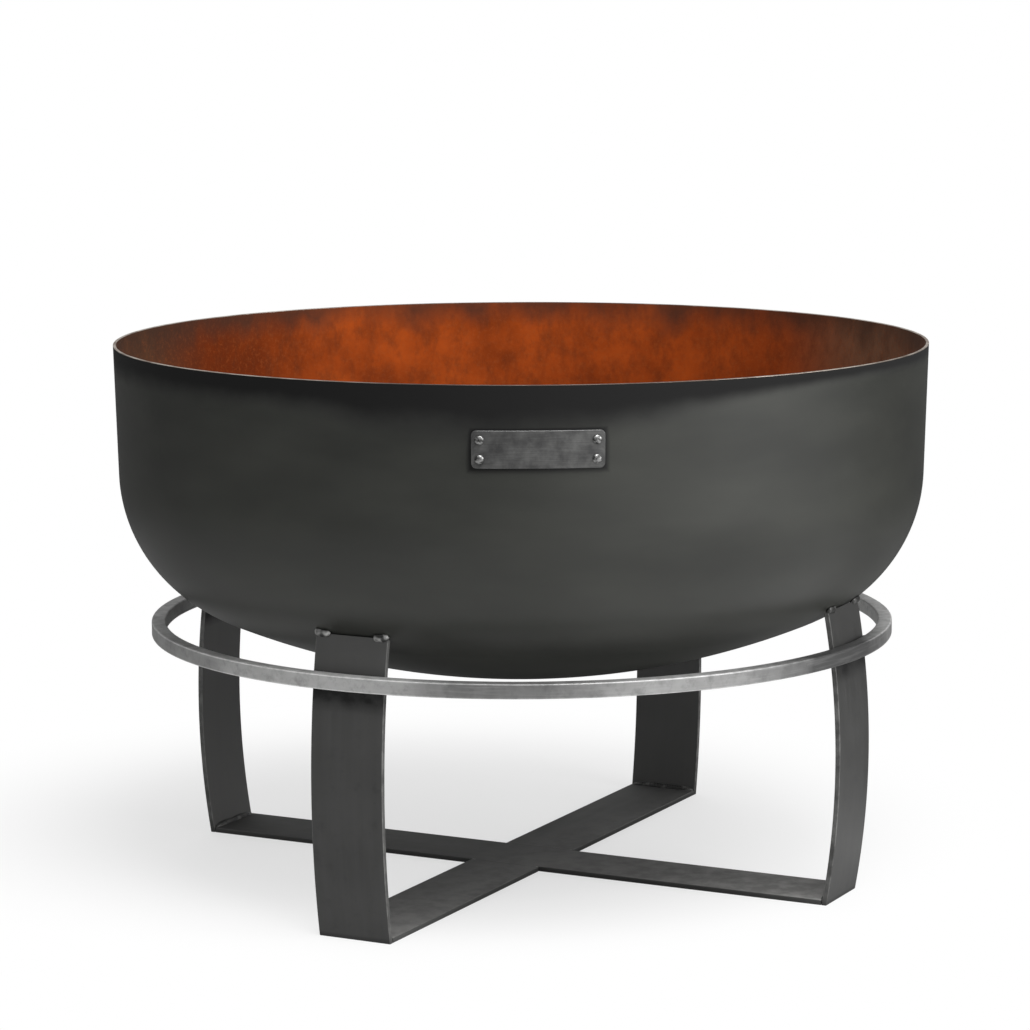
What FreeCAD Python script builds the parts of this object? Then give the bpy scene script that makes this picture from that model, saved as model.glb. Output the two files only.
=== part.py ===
import FreeCAD, Part
import math
import os
import Sketcher

# Outdoor fire pit: a dished steel bowl that rests on a welded stand.
# The stand is a flat cross, four bowed flat-bar legs and a square-bar hoop round the legs.
# Millimetres. The origin is on the bowl's axis at the floor, +Z is up, the name plate faces -Y.

# Driving dimensions: alias, number, meaning
SIZES = [
    ("rim_diameter", 800, "outside of the bowl's rim"),
    ("bowl_depth", 327, "rim to the outside of the bottom"),
    ("knuckle_radius", 152, "outside bend between wall and crown"),
    ("crown_radius", 757, "outside radius of the shallow bottom"),
    ("wall_draft", 1.6, "lean of the wall, degrees"),
    ("bowl_wall", 3, "sheet of the bowl"),
    ("flat_width", 75, "flat bar of the legs and the cross"),
    ("flat_thick", 5, "flat bar of the legs and the cross"),
    ("flat_edge", 0.8, "bevel along the flat bar's edges"),
    ("leg_height", 283, "floor to the top of a leg"),
    ("leg_end_radius", 344, "axis to a leg's outer face at foot and top"),
    ("leg_bend_radius", 785, "bow of a leg's outer face"),
    ("leg_angle", 29, "plate's facing to the front left leg, degrees"),
    ("butt_gap", 0.2, "end of a base bar to the foot of its leg"),
    ("root_gap", 2, "side of the through bar to the end of a half bar"),
    ("hoop_bar", 14, "square bar of the hoop"),
    ("hoop_edge", 1.5, "rounding of the hoop's edges"),
    ("hoop_top", 252, "floor to the top of the hoop"),
    ("hoop_fit", 0.2, "corners of the legs to the inside of the hoop"),
    ("seat_clearance", 0.3, "bowl to what carries it"),
    ("seat_length", 13, "nub on a leg's top corner, along the leg's width"),
    ("seat_height", 12, "nub before it is shaped to the bowl"),
    ("foot_weld", 5, "leg length of the bead in a foot's inside corner"),
    ("hoop_weld", 4, "leg length of a bead between leg and hoop"),
    ("weld_gap", 0.1, "bead to a curved face beside it"),
    ("plate_length", 118, "name plate, round the wall"),
    ("plate_height", 34, "name plate, up the wall"),
    ("plate_thick", 3, "name plate"),
    ("plate_corner", 4.5, "corner radius of the name plate"),
    ("plate_drop", 57, "rim down to the plate's middle"),
    ("plate_gap", 0.1, "wall to the back of the plate"),
    ("rivet_spread", 102.6, "rivets from left to right"),
    ("rivet_rise", 17.3, "rivets from lower to upper"),
    ("rivet_shank", 3.85, "shank of a 4 mm rivet"),
    ("rivet_fit", 0.05, "radial room round a shank"),
    ("rivet_seat", 0.05, "head and tail to the faces that they clamp"),
    ("rivet_head", 8.4, "head diameter"),
    ("rivet_dome", 2.3, "height of the head"),
    ("rivet_tail", 6.5, "tail diameter inside the bowl"),
    ("rivet_tail_height", 1.6, "height of the tail"),
]

# Values that follow from the driving dimensions. Heights with "rise" or "height" are measured from the
# bowl's lowest point, the others from the floor.
PLACES = [
    ("slope", "tan(Sizes.wall_draft)"),
    ("rim_radius", "Sizes.rim_diameter / 2"),
    # Centre of the knuckle: it touches the wall's line and the crown's circle from inside
    ("knuckle_span", "Sizes.crown_radius - Sizes.knuckle_radius"),
    ("knuckle_base", "rim_radius - Sizes.knuckle_radius / cos(Sizes.wall_draft) - Sizes.bowl_depth * slope"),
    ("knuckle_lead", "Sizes.crown_radius - knuckle_base * slope"),
    ("knuckle_rest", "knuckle_base ^ 2 + Sizes.crown_radius ^ 2 - knuckle_span ^ 2"),
    ("knuckle_share", "1 + slope ^ 2"),
    ("knuckle_root", "sqrt(knuckle_lead ^ 2 - knuckle_share * knuckle_rest)"),
    ("knuckle_height", "(knuckle_lead - knuckle_root) / knuckle_share"),
    ("knuckle_reach", "knuckle_base + knuckle_height * slope"),
    # Legs: the bow's centre is level with the middle of the leg
    ("bow_centre", "Sizes.leg_end_radius - sqrt(Sizes.leg_bend_radius ^ 2 - Sizes.leg_height ^ 2 / 4)"),
    ("inner_bend", "Sizes.leg_bend_radius - Sizes.flat_thick"),
    ("leg_inside", "bow_centre + sqrt(inner_bend ^ 2 - Sizes.leg_height ^ 2 / 4)"),
    ("foot_lean", "asin(Sizes.leg_height / 2 / inner_bend)"),
    ("heel_drop", "Sizes.leg_height / 2 - Sizes.flat_thick"),
    ("weld_heel", "bow_centre + sqrt(inner_bend ^ 2 - heel_drop ^ 2) - Sizes.weld_gap"),
    ("bar_end", "leg_inside - Sizes.butt_gap"),
    # Bowl: its outside, moved out by the seat clearance, touches the inner top edges of the legs
    ("seat_knuckle", "Sizes.knuckle_radius + Sizes.seat_clearance"),
    ("seat_crown", "Sizes.crown_radius + Sizes.seat_clearance"),
    ("seat_turn", "knuckle_reach * seat_crown / knuckle_span"),
    ("rise_on_knuckle", "knuckle_height - sqrt(abs(seat_knuckle ^ 2 - (leg_inside - knuckle_reach) ^ 2))"),
    ("rise_on_crown", "Sizes.crown_radius - sqrt(abs(seat_crown ^ 2 - leg_inside ^ 2))"),
    ("seat_rise", "leg_inside > seat_turn ? rise_on_knuckle : rise_on_crown"),
    ("bowl_bottom", "Sizes.leg_height - seat_rise"),
    # Hoop: round the corners of the legs at the hoop's lower edge
    ("hoop_bottom", "Sizes.hoop_top - Sizes.hoop_bar"),
    ("hoop_drop", "hoop_bottom - Sizes.leg_height / 2"),
    ("leg_at_hoop", "bow_centre + sqrt(Sizes.leg_bend_radius ^ 2 - hoop_drop ^ 2)"),
    ("hoop_inside", "sqrt(leg_at_hoop ^ 2 + Sizes.flat_width ^ 2 / 4) + Sizes.hoop_fit"),
    ("hoop_weld_face", "hoop_inside - Sizes.weld_gap"),
    ("hoop_weld_side", "Sizes.flat_width / 2 + Sizes.weld_gap"),
    ("hoop_weld_corner", "sqrt(hoop_weld_face ^ 2 - hoop_weld_side ^ 2)"),
    ("hoop_weld_tip", "sqrt(hoop_weld_face ^ 2 - (hoop_weld_side + Sizes.hoop_weld) ^ 2)"),
    # Name plate and rivets, on the wall's outside
    ("plate_rise", "Sizes.bowl_depth - Sizes.plate_drop"),
    ("plate_radius", "rim_radius - Sizes.plate_drop * slope"),
    ("plate_face", "Sizes.plate_gap + Sizes.plate_thick"),
    ("plate_angle", "Sizes.plate_length / plate_radius * 180 / pi"),
    ("rivet_angle", "asin(Sizes.rivet_spread / 2 / plate_radius)"),
    ("rivet_head_base", "plate_face + Sizes.rivet_seat"),
    ("rivet_dome_radius", "(Sizes.rivet_head ^ 2 / 4 + Sizes.rivet_dome ^ 2) / (2 * Sizes.rivet_dome)"),
    ("rivet_tail_top", "0 - Sizes.bowl_wall - Sizes.rivet_seat"),
]

LEGS = ["front_left", "front_right", "rear_right", "rear_left"]
QUARTER_TURN = 90
UP = FreeCAD.Vector(0, 0, 1)
ACROSS = FreeCAD.Vector(0, 1, 0)

doc = FreeCAD.newDocument("fire_pit")


# Sheets

def fill_sheet(name, rows):
    """Spreadsheet with one aliased cell per row of alias, text and meaning."""
    sheet = doc.addObject("Spreadsheet::Sheet", name)
    for line, (alias, text, meaning) in enumerate(rows, start=1):
        sheet.set(f"A{line}", meaning)
        sheet.set(f"B{line}", text)
        sheet.setAlias(f"B{line}", alias)
    doc.recompute()
    return sheet


sizes = fill_sheet("Sizes", [(alias, str(number), meaning) for alias, number, meaning in SIZES])
places = fill_sheet("Places", [(alias, "=" + formula, alias) for alias, formula in PLACES])


def amount(expression):
    """What an expression over the sheets comes to."""
    value = sizes.evalExpression(expression)
    return float(getattr(value, "Value", value))


# Drawing and features

def new_body(label):
    body = doc.addObject("PartDesign::Body", label)
    body.Label = label
    body.AllowCompound = True
    return body


def new_sketch(body, name, role, rise=None, lift=None):
    """Sketch on one of the body's own planes; rise moves it up in its plane, lift moves it off the plane."""
    sketch = body.newObject("Sketcher::SketchObject", f"{body.Label}_{name}")
    plane = [feature for feature in body.Origin.OriginFeatures if feature.Role == role]
    sketch.AttachmentSupport = [(plane[0], "")]
    sketch.MapMode = "FlatFace"
    if rise:
        sketch.setExpression("AttachmentOffset.Base.y", rise)
    if lift:
        sketch.setExpression("AttachmentOffset.Base.z", lift)
    return sketch


def bind(sketch, name, expression, kind, *where):
    """Dimension whose value follows an expression."""
    index = sketch.addConstraint(Sketcher.Constraint(kind, *where, amount(expression)))
    sketch.renameConstraint(index, name)
    sketch.setExpression(f"Constraints.{name}", expression)


def pin(sketch, name, edge, end, x, y):
    """Holds one end of an edge at x and y."""
    for kind, axis, expression in (("DistanceX", -2, x), ("DistanceY", -1, y)):
        if expression == "0":
            sketch.addConstraint(Sketcher.Constraint("PointOnObject", edge, end, axis))
        else:
            bind(sketch, f"{name}_{kind}", expression, kind, -1, 1, edge, end)


def angle_from(centre, spot):
    return math.atan2(spot.y - centre.y, spot.x - centre.x)


def draw(sketch, corners):
    """Closed outline. A corner is a name, x, y and the edge that leaves it: None for a straight one, or
    an arc's radius, centre x, centre y and turn, which is 1 counter-clockwise and -1 clockwise."""
    spots = [FreeCAD.Vector(amount(x), amount(y), 0) for _, x, y, _ in corners]
    edges = []
    for number, (name, x, y, arc) in enumerate(corners):
        here = spots[number]
        there = spots[(number + 1) % len(spots)]
        first, last = 1, 2
        if arc is None:
            edge = sketch.addGeometry(Part.LineSegment(here, there))
        else:
            radius, centre_x, centre_y, turn = arc
            centre = FreeCAD.Vector(amount(centre_x), amount(centre_y), 0)
            if turn < 0:
                first, last = 2, 1
                here, there = there, here
            begin = angle_from(centre, here)
            finish = angle_from(centre, there)
            if finish < begin:
                finish += 2 * math.pi
            circle = Part.Circle(centre, UP, amount(radius))
            edge = sketch.addGeometry(Part.ArcOfCircle(circle, begin, finish))
            bind(sketch, f"{name}_radius", radius, "Radius", edge)
        pin(sketch, name, edge, first, x, y)
        edges.append((edge, first, last))
    for number, (edge, first, _) in enumerate(edges):
        before, _, last = edges[number - 1]
        sketch.addConstraint(Sketcher.Constraint("Coincident", before, last, edge, first))


def rectangle(sketch, name, left, right, low, high):
    draw(sketch, [
        (f"{name}_a", left, low, None),
        (f"{name}_b", right, low, None),
        (f"{name}_c", right, high, None),
        (f"{name}_d", left, high, None),
    ])


def backwards(corners):
    """The same open run of corners from its other end."""
    turned = []
    for number, (name, x, y, _) in enumerate(reversed(corners)):
        before = len(corners) - 2 - number
        arc = corners[before][3] if before >= 0 else None
        if arc:
            arc = (*arc[:3], -arc[3])
        turned.append((name, x, y, arc))
    return turned


def other_side(corners):
    """An outline mirrored in the sketch's X axis."""
    mirrored = []
    for name, x, y, arc in corners:
        if arc:
            arc = (arc[0], arc[1], f"0 - ({arc[2]})", -arc[3])
        mirrored.append((f"{name}_left", x, f"0 - ({y})", arc))
    return mirrored


def pad(body, sketch, length, symmetric=False):
    feature = body.newObject("PartDesign::Pad", f"{body.Label}_pad")
    feature.Profile = sketch
    feature.SideType = "Symmetric" if symmetric else "One side"
    feature.setExpression("Length", length)
    doc.recompute()
    return feature


def turn(body, sketch, kind="Revolution", angle="360"):
    """Revolution or Groove about the sketch's upright axis."""
    feature = body.newObject(f"PartDesign::{kind}", f"{body.Label}_{kind}")
    feature.Profile = sketch
    feature.ReferenceAxis = (sketch, ["V_Axis"])
    feature.Midplane = True
    feature.setExpression("Angle", angle)
    doc.recompute()
    return feature


def ease_edges(body, base, kind, size, wanted):
    """Fillet or Chamfer along the edges of the base that wanted picks."""
    names = [f"Edge{number}" for number, edge in enumerate(base.Shape.Edges, start=1) if wanted(edge)]
    feature = body.newObject(f"PartDesign::{kind}", f"{body.Label}_{kind}")
    feature.Base = (base, names)
    feature.setExpression("Radius" if kind == "Fillet" else "Size", size)
    doc.recompute()


def is_round(edge):
    return isinstance(edge.Curve, Part.Circle)


def is_straight(edge):
    return isinstance(edge.Curve, Part.Line)


def expect_less(body, before):
    """A cut has to take material away."""
    if not body.Shape.Volume < before:
        raise RuntimeError(f"a cut in {body.Label} takes nothing away")


def place_round_axis(body, angle, height=None):
    """Turns a body about the upright axis and sets its height."""
    body.Placement = FreeCAD.Placement(FreeCAD.Vector(), FreeCAD.Rotation(UP, amount(angle)))
    body.setExpression("Placement.Rotation.Angle", angle)
    if height:
        body.setExpression("Placement.Base.z", height)
    doc.recompute()


# Bowl, plate and rivets. Their bodies share one placement: the plate is at local +X, the bottom at zero.

BOWL_FACING = f"0 - {QUARTER_TURN}"


def bowl_side(name, offset):
    """The bowl's outside from the axis up to the rim, moved out by offset."""
    crown = f"(Sizes.crown_radius + {offset})"
    knuckle = f"(Sizes.knuckle_radius + {offset})"
    share = f"{crown} / Places.knuckle_span"
    crown_arc = (crown, "0", "Sizes.crown_radius", 1)
    knuckle_arc = (knuckle, "Places.knuckle_reach", "Places.knuckle_height", 1)
    return [
        (f"{name}_bottom", "0", f"Sizes.crown_radius - {crown}", crown_arc),
        (f"{name}_crown_end", f"Places.knuckle_reach * {share}",
         f"Sizes.crown_radius - (Sizes.crown_radius - Places.knuckle_height) * {share}", knuckle_arc),
        (f"{name}_wall_start", f"Places.knuckle_reach + {knuckle} * cos(Sizes.wall_draft)",
         f"Places.knuckle_height - {knuckle} * sin(Sizes.wall_draft)", None),
        (f"{name}_rim", f"Places.rim_radius + {offset} / cos(Sizes.wall_draft)", "Sizes.bowl_depth", None),
    ]


def rivet_spots():
    """Name and local placement of each rivet: on the wall's outside, local Z along the wall's normal."""
    draft = amount("Sizes.wall_draft")
    spots = {}
    for level, up in (("upper", 1), ("lower", -1)):
        for hand, right in (("left", -1), ("right", 1)):
            height = amount(f"Places.plate_rise + {up} * Sizes.rivet_rise / 2")
            radius = amount(f"Places.rim_radius - (Sizes.bowl_depth - {height}) * Places.slope")
            angle = right * amount("Places.rivet_angle")
            round_axis = FreeCAD.Placement(FreeCAD.Vector(), FreeCAD.Rotation(UP, angle))
            lean = FreeCAD.Rotation(ACROSS, QUARTER_TURN + draft)
            on_wall = FreeCAD.Placement(FreeCAD.Vector(radius, 0, height), lean)
            spots[f"rivet_{level}_{hand}"] = round_axis.multiply(on_wall)
    return spots


def drill_rivet_holes(body):
    """Holes through plate and wall, with room round the shanks."""
    through = "2 * (Places.plate_face + Sizes.bowl_wall)"
    for name, spot in rivet_spots().items():
        before = body.Shape.Volume
        hole = body.newObject("PartDesign::SubtractiveCylinder", f"{body.Label}_{name}_hole")
        hole.setExpression("Radius", "Sizes.rivet_shank / 2 + Sizes.rivet_fit")
        hole.setExpression("Height", through)
        start = FreeCAD.Placement(UP * (-amount(through) / 2), FreeCAD.Rotation())
        hole.Placement = spot.multiply(start)
        doc.recompute()
        expect_less(body, before)


def fire_bowl():
    body = new_body("fire_bowl")
    sketch = new_sketch(body, "section", "XZ_Plane")
    inside = backwards(bowl_side("inner", "(0 - Sizes.bowl_wall)"))
    draw(sketch, bowl_side("outer", "0") + inside)
    turn(body, sketch)
    drill_rivet_holes(body)
    place_round_axis(body, BOWL_FACING, "Places.bowl_bottom")


def name_plate():
    body = new_body("name_plate")
    sketch = new_sketch(body, "section", "XZ_Plane")

    def corner(name, out, up):
        x = f"Places.plate_radius + {out} * cos(Sizes.wall_draft) + {up} * sin(Sizes.wall_draft)"
        y = f"Places.plate_rise - {out} * sin(Sizes.wall_draft) + {up} * cos(Sizes.wall_draft)"
        return (name, x, y, None)

    half = "Sizes.plate_height / 2"
    draw(sketch, [
        corner("back_low", "Sizes.plate_gap", f"(0 - {half})"),
        corner("face_low", "Places.plate_face", f"(0 - {half})"),
        corner("face_high", "Places.plate_face", half),
        corner("back_high", "Sizes.plate_gap", half),
    ])
    strip = turn(body, sketch, angle="Places.plate_angle")
    middle = (amount("Sizes.plate_thick") + amount("Sizes.plate_height")) / 2
    ease_edges(body, strip, "Fillet", "Sizes.plate_corner",
               lambda edge: is_straight(edge) and edge.Length < middle)
    drill_rivet_holes(body)
    place_round_axis(body, BOWL_FACING, "Places.bowl_bottom")


def rivets():
    """Dome head on the plate, shank through plate and wall, flattened tail inside the bowl."""
    facing = FreeCAD.Rotation(UP, amount(BOWL_FACING))
    bowl = FreeCAD.Placement(UP * amount("Places.bowl_bottom"), facing)
    dome = ("Places.rivet_dome_radius", "0",
            "Places.rivet_head_base + Sizes.rivet_dome - Places.rivet_dome_radius", 1)
    tail_end = "Places.rivet_tail_top - Sizes.rivet_tail_height"
    for name, spot in rivet_spots().items():
        body = new_body(name)
        sketch = new_sketch(body, "section", "XZ_Plane")
        draw(sketch, [
            ("tail_middle", "0", tail_end, None),
            ("tail_low", "Sizes.rivet_tail / 2", tail_end, None),
            ("tail_high", "Sizes.rivet_tail / 2", "Places.rivet_tail_top", None),
            ("shank_low", "Sizes.rivet_shank / 2", "Places.rivet_tail_top", None),
            ("shank_high", "Sizes.rivet_shank / 2", "Places.rivet_head_base", None),
            ("head_rim", "Sizes.rivet_head / 2", "Places.rivet_head_base", dome),
            ("head_top", "0", "Places.rivet_head_base + Sizes.rivet_dome", None),
        ])
        turn(body, sketch)
        body.Placement = bowl.multiply(spot)


# Stand. Bodies of a leg have the leg at local +X.

def leg_facing(number):
    return f"0 - {QUARTER_TURN} - Sizes.leg_angle + {number} * {QUARTER_TURN}"


def leg(number, name):
    """Bowed flat bar that stands on the floor, cut level at the top."""
    body = new_body(f"leg_{name}")
    sketch = new_sketch(body, "side", "XZ_Plane")
    middle = "Sizes.leg_height / 2"
    outer_arc = ("Sizes.leg_bend_radius", "Places.bow_centre", middle, 1)
    inner_arc = ("Places.inner_bend", "Places.bow_centre", middle, -1)
    draw(sketch, [
        ("foot_out", "Sizes.leg_end_radius", "0", outer_arc),
        ("top_out", "Sizes.leg_end_radius", "Sizes.leg_height", None),
        ("top_in", "Places.leg_inside", "Sizes.leg_height", inner_arc),
        ("foot_in", "Places.leg_inside", "0", None),
    ])
    bar = pad(body, sketch, "Sizes.flat_width", symmetric=True)
    ease_edges(body, bar, "Chamfer", "Sizes.flat_edge", is_round)
    place_round_axis(body, leg_facing(number))


def base_bar(label, start, end, leg_number):
    """Flat bar of the cross on the floor, from start to end along local X."""
    body = new_body(label)
    sketch = new_sketch(body, "top", "XY_Plane")
    rectangle(sketch, "bar", start, end, "0 - Sizes.flat_width / 2", "Sizes.flat_width / 2")
    bar = pad(body, sketch, "Sizes.flat_thick")
    length = amount(f"{end} - ({start})")
    ease_edges(body, bar, "Chamfer", "Sizes.flat_edge", lambda edge: math.isclose(edge.Length, length))
    place_round_axis(body, leg_facing(leg_number))


def cross_weld(label, leg_number):
    """Flush butt weld between a half bar and the side of the through bar."""
    body = new_body(label)
    sketch = new_sketch(body, "top", "XY_Plane")
    half = "(Sizes.flat_width / 2 - Sizes.flat_edge)"
    side = "Sizes.flat_width / 2"
    rectangle(sketch, "seam", side, f"{side} + Sizes.root_gap", f"0 - {half}", half)
    pad(body, sketch, "Sizes.flat_thick")
    place_round_axis(body, leg_facing(leg_number))


def hoop():
    """Square bar rolled to a closed ring round the legs."""
    body = new_body("hoop")
    sketch = new_sketch(body, "section", "XZ_Plane")
    outside = "Places.hoop_inside + Sizes.hoop_bar"
    rectangle(sketch, "bar", "Places.hoop_inside", outside, "Places.hoop_bottom", "Sizes.hoop_top")
    ring = turn(body, sketch)
    ease_edges(body, ring, "Fillet", "Sizes.hoop_edge", is_round)


def seat(number, name):
    """Two weld-built nubs on a leg's top corners, shaped to the bowl."""
    body = new_body(f"seat_{name}")
    outline = new_sketch(body, "outline", "XY_Plane", lift="Sizes.leg_height")
    outer = "Sizes.flat_width / 2 - Sizes.flat_edge"
    for side, low, high in (("right", f"{outer} - Sizes.seat_length", outer),
                            ("left", f"0 - ({outer})", f"Sizes.seat_length - ({outer})")):
        rectangle(outline, side, "Places.leg_inside + Sizes.flat_edge", "Sizes.leg_end_radius", low, high)
    pad(body, outline, "Sizes.seat_height")
    before = body.Shape.Volume
    room = new_sketch(body, "bowl_room", "XZ_Plane", rise="Places.bowl_bottom")
    draw(room, bowl_side("room", "Sizes.seat_clearance") + [("room_top", "0", "Sizes.bowl_depth", None)])
    turn(body, room, kind="Groove")
    expect_less(body, before)
    place_round_axis(body, leg_facing(number))


def foot_weld(number, name):
    """Rounded bead in the inside corner between a leg and the top of its base bar."""
    body = new_body(f"foot_weld_{name}")
    sketch = new_sketch(body, "section", "XZ_Plane")
    heel, bead = "Places.weld_heel", "Sizes.foot_weld"
    draw(sketch, [
        ("heel", heel, "Sizes.flat_thick", None),
        ("on_leg", f"{heel} + {bead} * sin(Places.foot_lean)",
         f"Sizes.flat_thick + {bead} * cos(Places.foot_lean)", (bead, heel, "Sizes.flat_thick", 1)),
        ("on_bar", f"{heel} - {bead}", "Sizes.flat_thick", None),
    ])
    pad(body, sketch, "Sizes.flat_width - 2 * Sizes.flat_edge", symmetric=True)
    place_round_axis(body, leg_facing(number))


def hoop_weld(number, name):
    """Two beads in the corners between a leg's edges and the inside of the hoop."""
    body = new_body(f"hoop_weld_{name}")
    sketch = new_sketch(body, "top", "XY_Plane", lift="Places.hoop_bottom + Sizes.hoop_edge")
    side, bead = "Places.hoop_weld_side", "Sizes.hoop_weld"
    right = [
        ("corner", "Places.hoop_weld_corner", side, ("Places.hoop_weld_face", "0", "0", 1)),
        ("on_hoop", "Places.hoop_weld_tip", f"{side} + {bead}", None),
        ("on_leg", f"Places.hoop_weld_corner - {bead}", side, None),
    ]
    draw(sketch, right)
    draw(sketch, other_side(right))
    pad(body, sketch, "Sizes.hoop_bar - 2 * Sizes.hoop_edge")
    place_round_axis(body, leg_facing(number))


# Assembly

fire_bowl()
name_plate()
rivets()
for leg_number, leg_name in enumerate(LEGS):
    leg(leg_number, leg_name)
    seat(leg_number, leg_name)
    foot_weld(leg_number, leg_name)
    hoop_weld(leg_number, leg_name)
hoop()
# The through bar runs from the rear left leg to the front right one, the half bars to the other two
side_of_bar = "Sizes.flat_width / 2 + Sizes.root_gap"
base_bar("base_through_bar", "0 - Places.bar_end", "Places.bar_end", LEGS.index("front_right"))
for end, leg_name in (("front", "front_left"), ("rear", "rear_right")):
    base_bar(f"base_half_bar_{end}", side_of_bar, "Places.bar_end", LEGS.index(leg_name))
    cross_weld(f"cross_weld_{end}", LEGS.index(leg_name))
doc.recompute()

# Check everything before anything is written
for item in doc.Objects:
    if "Invalid" in item.State or "Error" in item.State:
        raise RuntimeError(f"{item.Label} failed: {item.State}")
bodies = [item for item in doc.Objects if item.TypeId == "PartDesign::Body"]
for body in bodies:
    if body.Shape.isNull() or not body.Shape.isValid() or not body.Shape.Solids:
        raise RuntimeError(f"{body.Label} has no sound shape")

os.makedirs("parts", exist_ok=True)
for body in bodies:
    body.Shape.exportStep(f"parts/{body.Label}.step")
rim_height = amount("Places.bowl_bottom + Sizes.bowl_depth")
print(f"{len(bodies)} nodes, rim {rim_height:.1f} mm above the floor")
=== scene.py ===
import math

import bpy
from mathutils import Matrix, Vector, noise


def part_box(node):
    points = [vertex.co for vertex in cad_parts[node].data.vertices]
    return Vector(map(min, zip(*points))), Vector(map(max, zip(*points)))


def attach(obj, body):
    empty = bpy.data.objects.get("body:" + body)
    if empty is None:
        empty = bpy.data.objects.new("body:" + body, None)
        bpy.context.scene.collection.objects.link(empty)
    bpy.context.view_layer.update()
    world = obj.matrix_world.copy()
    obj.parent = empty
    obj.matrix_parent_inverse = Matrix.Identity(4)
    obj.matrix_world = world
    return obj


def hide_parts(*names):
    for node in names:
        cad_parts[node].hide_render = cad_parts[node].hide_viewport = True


# Outdoor fire pit: a dished steel bowl on a welded flat-bar stand with a square-bar hoop.
# Lengths are in millimetres and become metres where a mesh, a node or a light takes them.

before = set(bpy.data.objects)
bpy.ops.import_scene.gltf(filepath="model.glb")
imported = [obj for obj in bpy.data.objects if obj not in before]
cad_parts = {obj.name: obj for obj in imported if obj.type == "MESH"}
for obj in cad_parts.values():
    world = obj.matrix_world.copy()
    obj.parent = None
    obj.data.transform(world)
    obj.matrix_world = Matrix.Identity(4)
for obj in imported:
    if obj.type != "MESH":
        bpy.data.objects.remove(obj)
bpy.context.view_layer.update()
MM = 0.001

# Bowl: sizes that the part's boxes don't give
KNUCKLE_RADIUS = 152
CROWN_RADIUS = 757
WALL_DRAFT = math.radians(1.6)
BOWL_WALL = 3
RIM_EDGE = 0.5

# Name plate and rivets
PLATE_LENGTH = 118
PLATE_HEIGHT = 34
PLATE_THICK = 3
PLATE_CORNER = 4.5
PLATE_EDGE = 0.6
PLATE_DROP = 57
PLATE_GAP = 0.1
RIVET_HEAD = 8.4
RIVET_DOME = 2.3
RIVET_LIP = 0.2
RIVET_SHANK = 3.85
RIVET_TAIL = 6.5
RIVET_TAIL_HEIGHT = 1.6
RIVET_SEAT = 0.05
DENT_DEPTH = 0.16
DENT_SIZE = 2.4

# Legs, cross and hoop
FLAT_WIDTH = 75
FLAT_THICK = 5
FLAT_EDGE = 0.8
CUT_EDGE = 0.6
LEG_END_RADIUS = 344
LEG_BEND_RADIUS = 785
LEG_TOP_SLANT = 2.8
LEG_ANGLE = 29
BUTT_GAP = 0.2
ROOT_GAP = 2
HOOP_EDGE = 1.5

# Weld beads: half the width, half the height and the length of a ripple
NUB_BEAD = (3.3, 4.2, 7)
FOOT_BEAD = (3.6, 3.6, 3)
HOOP_BEAD = (3.2, 3.2, 3)
CROSS_BEAD = (3.2, 0.42, 2.6)

# Where the beads lie: a nub on a leg's top corner, the others by their distance from an end or a face
NUB_INSET = 0.8
NUB_OVERHANG = 1
NUB_REACH = 15
NUB_OUTER_RISE = 4
NUB_INNER_RISE = 3.4
NUB_CLEARANCE = 0.2
NUB_HALF_THICK = 0.4
FOOT_BEAD_END = 2
HOOP_BEAD_END = 0.8
HOOP_BEAD_SUNK = 0.4
HOOP_BEAD_OUT = 0.3
CROSS_BEAD_SUNK = 0.25

# A darker band below the rim: how far down it reaches, by the place across the bowl
RIM_BAND_MIDDLE = -50
RIM_BAND_DEPTH = 56
RIM_BAND_LEFT_END = -240
RIM_BAND_LEFT_DEPTH = 24
RIM_BAND_RIGHT_END = 270
RIM_BAND_RIGHT_DEPTH = 12

# Other marks of use on the bowl, with painted shade underneath and a painted shadow round the plate
UNDERSIDE_SHADE_RISE = 46
PLATE_SHADOW_REACH = 6
SCALE_DEPTH = 30
SCALE_RAGGED = 60
ASH_RISE = 150
ASH_BED = 15
BROWN_RIM = (260, 80)
SIDE_RUST_AND_LIGHT = [
    # where a browner rust starts and is full across the bowl, its share and its colour
    (-170, -320, 0.85, "#521f09"),
    (-310, -385, 0.85, "#4a3729"),
    # On the right the colours are lighter, as painted light on the inner wall that lies in shade
    (180, 360, 0.8, "#7c3616"),
    (280, 370, 0.85, "#67503e"),
]

# Marks of use, painted light and painted shade on the stand; a pair says where one starts and is full, across
# the stand.
PAINTED_LIGHT_LOW = 140
PAINTED_LIGHT_ACROSS = (300, 100)
PAINTED_LIGHT_INSIDE = (-50, -200)
HOOP_SHADE_REACH = 12
HOOP_SHADE_DROP = 11
LIT_ASH_SIDE = (0.75, -0.66, 0)
LIT_ASH_SPREAD = (-50, 250)
HOOP_LIT_LEFT = (350, -360)
HOOP_LIT_INSIDE = (150, 300)
HOOP_RIGHT_END = (315, 362)
ROLL_BAND = 340
ROLL_BAND_START = 140
WELD_BARE_AND_GLINT = (100, -100)
WELD_BARE_AND_GLINT_LOW = 20

# Camera, fitted to the photograph. Its range is in metres.
CAMERA_DISTANCE = 3598
CAMERA_HEIGHT = 892.2
CAMERA_AZIMUTH = math.radians(-2.17)
CAMERA_YAW = math.radians(-0.101)
CAMERA_PITCH = math.radians(8.562)
CAMERA_ROLL = math.radians(-0.2)
CAMERA_LENS = 128.1
SENSOR_WIDTH = 36
CAMERA_RANGE = 100

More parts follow.
